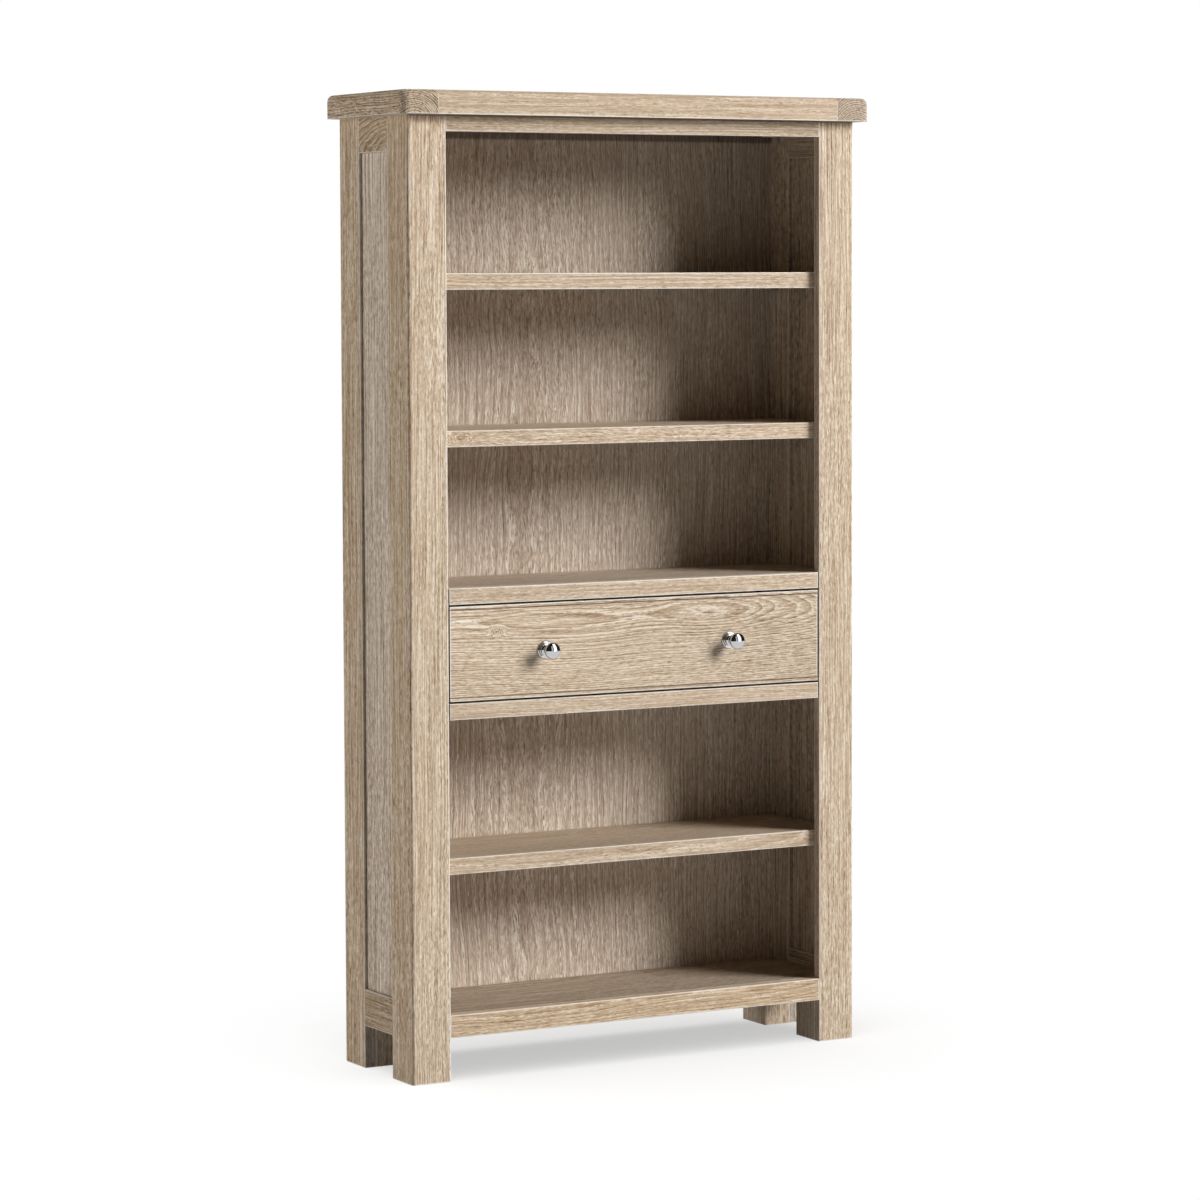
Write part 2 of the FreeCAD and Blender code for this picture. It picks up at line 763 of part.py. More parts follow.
def drawer_dowels():
    members = []
    bore_radius = "drawer_dowel_radius + dowel_clearance"
    half_length = "drawer_dowel_length / 2"

    def add_dowel(start, direction):
        name = f"drawer_dowel_{len(members)}"
        members.append(rod(name, start, direction, "drawer_dowel_radius", "drawer_dowel_length"))

    for level in DOWEL_LEVELS:
        z = f"drawer_side_under + drawer_side_height * {level}"
        for side, sign in SIDES.items():
            x = f"{sign}(drawer_x - drawer_side_thickness / 2)"
            joint = [x, "drawer_front_rear", z]
            bore(front, joint, "-y", bore_radius, half_length)
            bore(drawer_sides[side], joint, "+y", bore_radius, half_length)
            start = moved(joint, "-y", half_length)
            add_dowel(start, "+y")
            inwards = "+x" if side == "left" else "-x"
            joint = [f"{sign}drawer_x", "drawer_back_front + drawer_side_thickness / 2", z]
            bore(drawer_sides[side], joint, inwards, bore_radius, "drawer_side_thickness")
            bore(drawer_back, joint, inwards, bore_radius, "drawer_dowel_length")
            add_dowel(joint, inwards)
    group("drawer_dowels", members)


drawer_dowels()


# Knobs and their screws
def knob(side, sign):
    """A turned knob: a stepped rose, a coved neck and a domed head, bored from behind for its screw."""
    body = new_body(f"{side}_knob", [f"{sign}knob_x", "field_plane", "knob_z"])
    body.Placement = Placement(Vector(), TURNS["-y"])
    bore_radius = "knob_screw_radius + screw_clearance"
    rim_end = ("rim_to_dome * rim_centre", "dome_centre + rim_to_dome * (head_reach - dome_centre)")
    points = [
        (bore_radius, "0"),
        ("rose_radius", "0"),
        ("rose_radius", "rose_thickness - rose_round"),
        ("rose_radius - rose_round", "rose_thickness"),
        ("ring_radius", "rose_thickness"),
        ("ring_radius", "ring_top - ring_round"),
        ("ring_radius - ring_round", "ring_top"),
        ("neck_radius + cove_radius", "ring_top"),
        ("neck_radius", "ring_top + cove_radius"),
        ("neck_radius", "head_back - throat_radius"),
        ("neck_radius + throat_radius", "head_back"),
        ("rim_centre", "head_back"),
        rim_end,
        ("0", "knob_length"),
        ("0", "knob_screw_in_knob"),
        (bore_radius, "knob_screw_in_knob"),
    ]
    centres = {
        2: ("rose_radius - rose_round", "rose_thickness - rose_round"),
        5: ("ring_radius - ring_round", "ring_top - ring_round"),
        7: ("neck_radius + cove_radius", "ring_top + cove_radius"),
        9: ("neck_radius + throat_radius", "head_back - throat_radius"),
        11: ("rim_centre", "head_reach"),
        12: ("0", "dome_centre"),
    }
    sketch = outline(body, "XZ_Plane", points, centres)
    turned = body.newObject("PartDesign::Revolution", f"{body.Label}_turned")
    turned.Profile = sketch
    turned.ReferenceAxis = (sketch, ["V_Axis"])
    turned.Angle = 360
    sketch.Visibility = False
    return body


def knobs():
    members = []
    for side, sign in SIDES.items():
        knob(side, sign)
        start = [f"{sign}knob_x", "drawer_front_rear", "knob_z"]
        through = less("drawer_front_rear", "field_plane")
        bore(front, start, "-y", "knob_screw_radius + screw_clearance", "drawer_front_thickness")
        length = f"{through} + knob_screw_in_knob - screw_clearance"
        members.append(screw(f"knob_screw_{side}", start, "-y", "knob_screw_radius", length))
    group("knob_screws", members)


knobs()


# The top: long-grain middle held between two end boards by tongues
def top_boards():
    middle = board("top_middle_board", ["-top_joint_x", "top_front", "top_underside"],
                   ["top_joint_x", "top_rear", "overall_height"])
    ease(middle, "top_edge_radius", "y- z+", "y+ z+")
    tongue_y = ["top_front + tongue_setback", "top_rear - tongue_setback"]
    tongue_top = "tongue_bottom + tongue_thickness"
    mirrored_x(middle, ["top_joint_x", tongue_y[0], "tongue_bottom"],
               ["top_joint_x + tongue_length", tongue_y[1], tongue_top], add_box)
    end_boards = {}
    for side in SIDES:
        low, high = side_box(side, "top_joint_x", "top_x", ["top_front", "top_underside"],
                             ["top_rear", "overall_height"])
        end_board = board(f"top_{side}_end_board", low, high)
        out_x = "x-" if side == "left" else "x+"
        ease(end_board, "top_corner_radius", f"{out_x} y-", f"{out_x} y+")
        round_over(end_board, "x+" if side == "left" else "x-")
        low, high = side_box(side, "top_joint_x", "top_joint_x + tongue_length + groove_clearance",
                             [f"{tongue_y[0]} - groove_clearance", "tongue_bottom - groove_clearance"],
                             [f"{tongue_y[1]} + groove_clearance", f"{tongue_top} + groove_clearance"])
        cut_box(end_board, low, high)
        end_boards[side] = end_board
    return middle, end_boards


def round_over(body, joint_side):
    """Rounds every upper edge but the one against the joint."""
    base = body.Tip
    joint = set(edges_on(body, f"{joint_side} z+"))
    names = [name for name in edges_on(body, "z+") if name not in joint]
    fillet = body.newObject("PartDesign::Fillet", f"{body.Label}_rounded")
    fillet.Base = (base, names)
    bind(fillet, "Radius", "top_edge_radius")


middle_board, end_boards = top_boards()


# Cleats under the top, screwed up into it
def top_cleats():
    members = []
    spots = [f"top_screw_y + {step} * top_screw_step" for step in range(CLEAT_SCREWS)]
    for side, sign in SIDES.items():
        low, high = side_box(side, "cleat_x", "inner_x", ["behind_rail", "cleat_under"],
                             ["back_face", "top_underside"])
        cleat = board(f"{side}_top_cleat", low, high)
        for y in spots:
            start = [f"{sign}(cleat_x + cleat_size / 2)", y, "cleat_under"]
            bore_radius = "top_screw_radius + screw_clearance"
            bore(cleat, start, "+z", bore_radius, "cleat_size")
            joint = moved(start, "+z", "cleat_size")
            for above in (end_boards[side], middle_board):
                bore(above, joint, "+z", bore_radius, "top_screw_in_top")
            length = "cleat_size + top_screw_in_top - screw_clearance"
            members.append(screw(f"top_screw_{len(members)}", start, "+z", "top_screw_radius", length))
    group("top_screws", members)


top_cleats()


# Screws through the back panel into the fixed boards
def back_screws():
    members = []
    bore_radius = "back_screw_radius + screw_clearance"
    for label in ("drawer_divider_board", "fixed_shelf_board"):
        body, z_low, z_high = fixed_boards[label]
        z = f"({z_low} + {z_high}) / 2"
        for step in range(BACK_SCREWS):
            start = [f"{step} * back_screw_step - back_screw_x", "rear_boards", z]
            bore(back_panel, start, "-y", bore_radius, "back_thickness")
            in_board = "back_screw_length - back_thickness"
            bore(body, moved(start, "-y", "back_thickness"), "-y", bore_radius, in_board)
            length = "back_screw_length - screw_clearance"
            members.append(screw(f"back_screw_{len(members)}", start, "-y", "back_screw_radius", length))
    group("back_panel_screws", members)


back_screws()

doc.recompute()

# Nothing is written unless every feature and every piece is sound.
for item in doc.Objects:
    if "Invalid" in item.State or "Error" in item.State:
        raise RuntimeError(f"{item.Label} did not compute: {item.State}")
for piece in pieces:
    shape = piece.Shape
    if shape.isNull() or not shape.isValid() or not shape.Solids:
        raise RuntimeError(f"{piece.Label} has no sound solid")
    if not isinstance(shape, Part.Compound) and len(shape.Solids) != 1:
        raise RuntimeError(f"{piece.Label} came apart into {len(shape.Solids)} solids")

os.makedirs("parts", exist_ok=True)
for piece in pieces:
    piece.Shape.exportStep(f"parts/{piece.Label}.step")
print(len(pieces), "pieces")
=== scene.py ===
# Bookcase in limed oak with a chrome-knobbed drawer: finishes, studio light and camera round the model.
import math
import random

import bpy
from mathutils import Matrix, Vector


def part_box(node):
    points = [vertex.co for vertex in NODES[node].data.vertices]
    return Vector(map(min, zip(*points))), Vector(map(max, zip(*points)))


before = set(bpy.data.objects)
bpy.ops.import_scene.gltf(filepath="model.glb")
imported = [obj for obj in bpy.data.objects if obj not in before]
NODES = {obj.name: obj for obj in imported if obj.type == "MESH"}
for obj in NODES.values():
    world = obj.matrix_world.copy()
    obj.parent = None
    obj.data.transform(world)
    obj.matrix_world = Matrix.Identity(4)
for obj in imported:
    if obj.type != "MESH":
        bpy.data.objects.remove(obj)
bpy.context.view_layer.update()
MM = 0.001


# Camera, at the photograph's viewing angle
CAMERA_PLACE = Vector((-3.7741, -6.75495, 1.4636))
CAMERA_YAW = math.radians(-29.139)
CAMERA_PITCH = math.radians(-3.487)
CAMERA_ROLL = math.radians(-0.204)
CAMERA_LENS = 123.525
CAMERA_SENSOR = 36.0
CAMERA_SHIFT_Y = -0.06
CAMERA_REACH = 100.0


def link_to_scene(name, data):
    made = bpy.data.objects.new(name, data)
    bpy.context.scene.collection.objects.link(made)
    return made


def make_camera():
    ahead = Vector((
        -math.sin(CAMERA_YAW) * math.cos(CAMERA_PITCH),
        math.cos(CAMERA_YAW) * math.cos(CAMERA_PITCH),
        math.sin(CAMERA_PITCH),
    ))
    level = Vector((math.cos(CAMERA_YAW), math.sin(CAMERA_YAW), 0.0))
    upright = level.cross(ahead)
    right = level * math.cos(CAMERA_ROLL) + upright * math.sin(CAMERA_ROLL)
    up = upright * math.cos(CAMERA_ROLL) - level * math.sin(CAMERA_ROLL)
    camera = link_to_scene("camera", bpy.data.cameras.new("camera"))
    turn = Matrix((right, up, -ahead)).transposed().to_4x4()
    camera.matrix_world = Matrix.Translation(CAMERA_PLACE) @ turn
    camera.data.lens = CAMERA_LENS
    camera.data.sensor_width = CAMERA_SENSOR
    camera.data.shift_y = CAMERA_SHIFT_Y
    camera.data.clip_end = CAMERA_REACH
    bpy.context.scene.camera = camera


# A colour Mix node's sockets share their names with those of its other kinds, so they go by number
MIX_FIRST, MIX_SECOND, MIX_RESULT = 6, 7, 2
# Steps between neighbouring strips, large enough that their noises differ
STRIP_STEP_ACROSS = 17.3
STRIP_STEP_DEPTH = 13.7


class Tree:
    """Short calls that add linked nodes to a shader tree."""

    def __init__(self, tree):
        self.tree = tree

    def put(self, socket, value):
        if isinstance(value, bpy.types.NodeSocket):
            self.tree.links.new(value, socket)
        else:
            socket.default_value = value

    def node(self, kind, **settings):
        made = self.tree.nodes.new(kind)
        for name, value in settings.items():
            setattr(made, name, value)
        return made

    def fill(self, made, values):
        for socket, value in zip(made.inputs, values):
            self.put(socket, value)
        return made.outputs

    def math(self, operation, *values):
        return self.fill(self.node("ShaderNodeMath", operation=operation), values)[0]

    def total(self, *values):
        """The sum of two or more values."""
        added = values[0]
        for value in values[1:]:
            added = self.math("ADD", added, value)
        return added

    def product(self, *values):
        """The product of two or more values."""
        multiplied = values[0]
        for value in values[1:]:
            multiplied = self.math("MULTIPLY", multiplied, value)
        return multiplied

    def less(self, value, *taken):
        """A value less one or more others."""
        for part in taken:
            value = self.math("SUBTRACT", value, part)
        return value

    def vector(self, operation, *values):
        outputs = self.fill(self.node("ShaderNodeVectorMath", operation=operation), values)
        return outputs["Value" if operation == "LENGTH" else "Vector"]

    def split(self, vector):
        return self.fill(self.node("ShaderNodeSeparateXYZ"), (vector,))

    def join(self, x, y, z):
        return self.fill(self.node("ShaderNodeCombineXYZ"), (x, y, z))[0]

    def noise(self, vector, stretch, detail=2.0, roughness=0.5):
        made = self.node("ShaderNodeTexNoise")
        self.put(made.inputs["Vector"], self.vector("MULTIPLY", vector, stretch))
        self.put(made.inputs["Scale"], 1.0)
        self.put(made.inputs["Detail"], detail)
        self.put(made.inputs["Roughness"], roughness)
        return made.outputs

    def strips(self, vector, stretch):
        """Three noises, each smooth along thin strips side by side and different from strip to strip."""
        along, across, depth = self.split(self.vector("MULTIPLY", vector, stretch))
        across = self.math("MULTIPLY", self.math("FLOOR", across), STRIP_STEP_ACROSS)
        depth = self.math("MULTIPLY", self.math("FLOOR", depth), STRIP_STEP_DEPTH)
        place = self.join(along, across, depth)
        return self.split(self.noise(place, (1.0, 1.0, 1.0), detail=1.0)["Color"])

    def fade(self, value, low, high, to_low=0.0, to_high=1.0):
        made = self.node("ShaderNodeMapRange", interpolation_type="SMOOTHSTEP")
        return self.fill(made, (value, low, high, to_low, to_high))[0]

    def mix(self, share, first, second, blend="MIX"):
        made = self.node("ShaderNodeMix", data_type="RGBA", blend_type=blend)
        self.put(made.inputs[0], share)
        self.put(made.inputs[MIX_FIRST], first)
        self.put(made.inputs[MIX_SECOND], second)
        return made.outputs[MIX_RESULT]

    def paint(self, share, under, colour):
        """A share of a plain colour over another."""
        return self.mix(share, under, (*colour, 1.0))

    def toned(self, colour, tone):
        """A colour times a tone, the same in red, green and blue."""
        return self.mix(1.0, colour, self.join(tone, tone, tone), "MULTIPLY")

    def ramp(self, value, stops):
        made = self.node("ShaderNodeValToRGB")
        elements = made.color_ramp.elements
        while len(elements) < len(stops):
            elements.new(0.5)
        for element, (place, colour) in zip(elements, stops):
            element.position = place
            element.color = (*colour, 1.0)
        self.put(made.inputs[0], value)
        return made.outputs[0]

    def bump(self, shader, strength, distance, height):
        made = self.node("ShaderNodeBump")
        self.put(made.inputs["Strength"], strength)
        self.put(made.inputs["Distance"], distance)
        self.put(made.inputs["Height"], height)
        self.put(shader.inputs["Normal"], made.outputs[0])


# Wood colours, from the dark pores to the lime left in the grain
PORE = (0.185, 0.120, 0.074)
BROWN = (0.420, 0.298, 0.193)
TAN = (0.612, 0.470, 0.334)
CREAM = (0.790, 0.658, 0.510)
LIME = (0.905, 0.820, 0.700)
ARRIS = (0.940, 0.880, 0.790)
# The colour of painted shade: in crevices, under the top and in the moulding's grooves, and of the dark line
# behind a front corner
PAINTED_SHADE = (0.045, 0.030, 0.021)
WOOD_RAMP = ((0.0, PORE), (0.28, BROWN), (0.56, TAN), (0.80, CREAM), (1.0, LIME))
MIDDLE_OF_RAMP = 0.56

# How often each mark repeats in a metre: along the board, across it and into its depth
SWAYS = (1.9, 3.5, 3.5)
RIPPLES = (9.0, 22.0, 22.0)
BROAD_TONES = (1.3, 11.0, 11.0)
PATCHES = (2.2, 6.0, 6.0)
FIBRES = (5.0, 520.0, 470.0)
STRIPS = (78.0, 540.0, 490.0)
HAIRS = (40.0, 1700.0, 1500.0)
FLAKES = (58.0, 600.0, 540.0)
END_PORES = (330.0, 330.0, 330.0)
RING_CHANGES = (70.0, 0.0, 0.0)
FRONT_LINE_WAVES = (400.0, 400.0, 70.0)

# The levels of its noise between which a mark comes in
PATCH_LEVELS = (0.35, 0.65)
STRIP_LEVELS = (0.57, 0.66)
FLAKE_LEVELS = (0.58, 0.63)
END_PORE_LEVELS = (0.50, 0.58)
NOISE_MIDDLE = 0.5
CENTRE = (NOISE_MIDDLE, NOISE_MIDDLE, NOISE_MIDDLE)

# How far the wood sways and ripples across the board at a figure of 1, in metres
SWAY_REACH = 0.075
RIPPLE_REACH = 0.012
# How much the depth counts beside the width in the strips' side direction
STRIP_LEAN = 0.83

# A year ring in shares of a year: early wood fades out, late wood comes in and then stops
EARLY_OUT = (0.08, 0.55)
LATE_IN = (0.45, 0.93)
LATE_OUT = (0.94, 1.0)
# How much the rings' spacing varies, in years
RING_UNEVENNESS = 2.2
# How porous late wood is beside early wood
LATE_PORES = 0.25

# How strongly each mark counts in the shade. Fibres are weaker in the patches, and specks stronger
FIBRE_STRENGTH = 2.3
SPECK_STRENGTH = 0.9
HAIR_STRENGTH = 0.6
BROAD_STRENGTH = 0.14
EARLY_PALENESS = 0.09
LATE_DARKNESS = 0.11

# Shares of the marks' own colours
PORE_SHARE = 0.45
LIME_SHARE = 0.55
FLAKE_SHARE = 0.70

# A knot is longer along the grain than across it and pushes the rings out by a share of its size.
# The higher its sharpness, the smaller its dark core
KNOT_STRETCH = (1.0, 1.7, 0.0)
KNOT_PUSH = 0.9
KNOT_SHARPNESS = 3.0
KNOT_DARKNESS = 0.22

# Arrises are pale, from wear and a painted highlight, up to the first distance and plain from the second
ARRIS_FULL = 0.9 * MM
ARRIS_END = 2.4 * MM
ARRIS_UNEVENNESS = 2.0 * MM

# Painted shade lies where the surface is closed in: all of it up to the first openness, none from the second
CREVICE_SHADE_DISTANCE = 7.0 * MM
CREVICE_SHADE_OPENNESS = (0.05, 0.50)
CREVICE_SHADE_SHARE = 0.90
CREVICE_SHADE_SAMPLES = 4

# A face is long grain up to the first turn towards the grain's direction and end grain from the second
END_TURNS = (0.3, 0.7)
END_GRAIN_TONE = 0.84

# The surface: fine grain and late wood stand up, pores and lime lie deeper, and lime is rougher
FINE_RELIEF = 0.5
LATE_RELIEF = 0.15
PORE_DEPTH = 0.7
LIME_DEPTH = 0.25
WOOD_ROUGHNESS = 0.66
ROUGHNESS_CHANGE = 0.12
WOOD_SPECULAR = 0.15
WOOD_BUMP = 0.4
WOOD_BUMP_HEIGHT = 0.3 * MM

OAK_INPUTS = (
    ("Board", "Vector"), ("Pith", "Vector"), ("Arch", "Vector"), ("Ring gap", "Float"),
    ("Figure", "Float"), ("Knot", "Vector"), ("Knot size", "Float"), ("Contrast", "Float"),
    ("Rings", "Float"), ("End grain", "Float"), ("Tone", "Float"), ("Grey", "Float"),
    ("Place", "Vector"), ("Low", "Vector"), ("High", "Vector"), ("Wear and highlight", "Float"),
    ("Fineness", "Float"), ("Flakes", "Float"), ("Level off", "Float"),
)
OAK_OUTPUTS = (("Color", "Color"), ("Roughness", "Float"), ("Height", "Float"))


def bend(t, board, figure):
    """The log's slow bends and small ripples, which move the wood across the board."""
    bent = board
    for repeats, reach in ((SWAYS, SWAY_REACH), (RIPPLES, RIPPLE_REACH)):
        move = t.vector("SUBTRACT", t.noise(board, repeats)["Color"], CENTRE)
        sideways = t.product(figure, reach)
        bent = t.vector("ADD", bent, t.vector("MULTIPLY", move, t.join(0.0, sideways, sideways)))
    return bent


def ring_radius(t, given, bent):
    """Distance from the pith, and the knot's mask.

    The pith climbs away to the right of the arch's top and levels off to its left, and a knot pushes the
    rings out round it.
    """
    arch_top, right_slope, left_slope = t.split(given["Arch"])
    from_arch = t.less(t.split(given["Board"])[0], arch_top)
    right_climb = t.product(t.math("MAXIMUM", from_arch, 0.0), right_slope)
    left_climb = t.product(t.math("MAXIMUM", t.product(from_arch, -1.0), 0.0), left_slope)
    steepness = t.total(1.0, t.math("DIVIDE", left_climb, given["Level off"]))
    left_climb = t.math("DIVIDE", left_climb, steepness)
    climb = t.join(t.total(right_climb, left_climb), 0.0, 0.0)
    from_pith = t.vector("MULTIPLY", t.vector("SUBTRACT", bent, given["Pith"]), (0.0, 1.0, 1.0))
    radius = t.vector("LENGTH", t.vector("ADD", from_pith, climb))
    off = t.vector("MULTIPLY", t.vector("SUBTRACT", given["Board"], given["Knot"]), KNOT_STRETCH)
    near = t.math("DIVIDE", t.vector("LENGTH", off), given["Knot size"])
    knot = t.math("POWER", math.e, t.product(near, near, -1.0))
    return t.total(radius, t.product(knot, given["Knot size"], KNOT_PUSH)), knot


def seasons(t, radius, gap):
    """Early wood at the start of a year ring, and late wood at its end."""
    uneven = t.noise(t.join(radius, 0.0, 0.0), RING_CHANGES, detail=1.0)["Fac"]
    year = t.total(t.math("DIVIDE", radius, gap), t.product(uneven, RING_UNEVENNESS))
    season = t.math("FRACT", year)
    early = t.fade(season, *EARLY_OUT, 1.0, 0.0)
    late = t.product(t.fade(season, *LATE_IN), t.fade(season, *LATE_OUT, 1.0, 0.0))
    return early, late


def fine_grain(t, given, grain):
    """Long fibres and thin strips each of its own shade, and the noises that set pores and lime in strips."""
    fibres = t.less(t.noise(grain, FIBRES, detail=1.0)["Fac"], NOISE_MIDDLE)
    shade, pore_noise, lime_noise = t.strips(grain, STRIPS)
    hair = t.strips(grain, HAIRS)[0]
    middle = NOISE_MIDDLE * (1.0 + HAIR_STRENGTH)
    specks = t.less(t.total(shade, t.product(hair, HAIR_STRENGTH)), middle)
    patches = t.fade(t.noise(given["Board"], PATCHES, detail=1.0)["Fac"], *PATCH_LEVELS)
    lines = t.product(fibres, t.less(FIBRE_STRENGTH, patches))
    grains = t.product(specks, t.total(SPECK_STRENGTH, patches))
    return t.product(t.total(lines, grains), given["Contrast"]), pore_noise, lime_noise


def arris_mask(t, given, unevenness):
    """1 where the second nearest of the board's faces is close, as along its edges, which are pale from wear
    and a painted highlight.
    """
    to_low = t.vector("SUBTRACT", given["Place"], given["Low"])
    to_high = t.vector("SUBTRACT", given["High"], given["Place"])
    x, y, z = t.split(t.vector("MINIMUM", to_low, to_high))
    least = t.math("MINIMUM", t.math("MINIMUM", x, y), z)
    most = t.math("MAXIMUM", t.math("MAXIMUM", x, y), z)
    second = t.less(t.total(x, y, z), least, most)
    uneven = t.product(t.less(unevenness, NOISE_MIDDLE), ARRIS_UNEVENNESS)
    return t.product(t.fade(t.total(second, uneven), ARRIS_FULL, ARRIS_END, 1.0, 0.0), given["Wear and highlight"])


def crevice_shade_mask(t):
    """The share of painted shade in crevices, where faces meet."""
    crevice = t.node("ShaderNodeAmbientOcclusion", samples=CREVICE_SHADE_SAMPLES)
    t.put(crevice.inputs["Distance"], CREVICE_SHADE_DISTANCE)
    return t.fade(crevice.outputs["AO"], *CREVICE_SHADE_OPENNESS, CREVICE_SHADE_SHARE, 0.0)


def make_oak_group():
    """Limed oak as a solid: rings round a pith, fibres and pores, lime in the pores, pale arrises from wear
    and a painted highlight, and painted shade in crevices.
    """
    group = bpy.data.node_groups.new("limed_oak", "ShaderNodeTree")
    for name, kind in OAK_INPUTS:
        group.interface.new_socket(name, in_out="INPUT", socket_type="NodeSocket" + kind)
    for name, kind in OAK_OUTPUTS:
        group.interface.new_socket(name, in_out="OUTPUT", socket_type="NodeSocket" + kind)
    t = Tree(group)
    given = t.node("NodeGroupInput").outputs
    bent = bend(t, given["Board"], given["Figure"])
    radius, knot = ring_radius(t, given, bent)
    early, late = seasons(t, radius, given["Ring gap"])

    # The fine grain follows the rings: along the board, out from the pith and to the side
    along, across, depth = t.split(bent)
    side = t.total(across, t.product(depth, STRIP_LEAN))
    fineness = given["Fineness"]
    grain = t.join(along, t.product(radius, fineness), t.product(side, fineness))
    fine, pore_noise, lime_noise = fine_grain(t, given, grain)

    # Pores, lime and flakes lie mostly in the early wood
    porous = t.total(t.product(early, 1.0 - LATE_PORES), LATE_PORES)
    pores = t.product(t.fade(pore_noise, *STRIP_LEVELS), porous)
    lime = t.product(t.fade(lime_noise, *STRIP_LEVELS), porous)
    flakes = t.fade(t.noise(grain, FLAKES, detail=0.0)["Fac"], *FLAKE_LEVELS)
    flakes = t.product(flakes, porous, porous, given["Flakes"])

    # On the ends the rings are twice as clear and the pores are dots
    ends = t.fade(given["End grain"], *END_TURNS)
    dots = t.fade(t.noise(bent, END_PORES, detail=0.0)["Fac"], *END_PORE_LEVELS)
    pores = t.math("MAXIMUM", pores, t.product(dots, early, ends))
    clearness = t.product(given["Rings"], t.total(1.0, ends))

    # Shade along the ramp, then pores and lime, pale arrises from wear and a painted highlight, and painted
    # shade where faces meet
    broad = t.less(t.noise(bent, BROAD_TONES)["Fac"], NOISE_MIDDLE)
    rings = t.less(t.product(early, EARLY_PALENESS), t.product(late, LATE_DARKNESS))
    shade = t.total(MIDDLE_OF_RAMP, fine, t.product(broad, BROAD_STRENGTH), t.product(rings, clearness))
    shade = t.less(shade, t.product(t.math("POWER", knot, KNOT_SHARPNESS), KNOT_DARKNESS))
    wood = t.ramp(shade, WOOD_RAMP)
    wood = t.paint(t.product(pores, PORE_SHARE), wood, PORE)
    wood = t.paint(t.product(lime, LIME_SHARE), wood, LIME)
    wood = t.paint(t.product(flakes, FLAKE_SHARE), wood, LIME)
    wood = t.paint(arris_mask(t, given, pore_noise), wood, ARRIS)
    wood = t.paint(crevice_shade_mask(t), wood, PAINTED_SHADE)

    # The board's greyness and tone
    grey = t.node("ShaderNodeHueSaturation")
    t.put(grey.inputs["Saturation"], t.less(1.0, given["Grey"]))
    t.put(grey.inputs["Color"], wood)
    tone = t.product(given["Tone"], t.fade(ends, 0.0, 1.0, 1.0, END_GRAIN_TONE))
    wood = t.toned(grey.outputs[0], tone)

    height = t.total(t.product(fine, FINE_RELIEF), t.product(late, LATE_RELIEF))
    height = t.less(height, t.product(pores, PORE_DEPTH), t.product(lime, LIME_DEPTH))
    roughness = t.product(fine, -ROUGHNESS_CHANGE)
    roughness = t.total(roughness, WOOD_ROUGHNESS, t.product(lime, ROUGHNESS_CHANGE))
    out = t.node("NodeGroupOutput").inputs
    t.put(out["Color"], wood)
    t.put(out["Roughness"], roughness)
    t.put(out["Height"], height)
    return group


def new_material(name):
    material = bpy.data.materials.new(name)
    material.use_nodes = True
    return material, Tree(material.node_tree), material.node_tree.nodes["Principled BSDF"]


def finish_with(node, material):
    for slot in NODES[node].material_slots:
        slot.material = material


# The axis that each board's grain runs along: its longest side, but for these
GRAIN = {
    "left_front_foot_block": 2, "right_front_foot_block": 2,
    "left_rear_foot_block": 2, "right_rear_foot_block": 2,
    "drawer_catch_block": 0, "drawer_rear_stops": 0,
}

# What a board looks like where nothing below says otherwise
PLAIN_LOOKS = {
    "figure": 0.2, "knot": (0.0, 5.0, 0.0), "knot_size": 0.02, "contrast": 0.62, "rings": 0.6,
    "tone": 1.0, "grey": 0.0, "wear": 0.8, "plain_arris_low": (0.0, 0.0, 0.0), "flakes": 0.2, "level_off": 1.0,
}
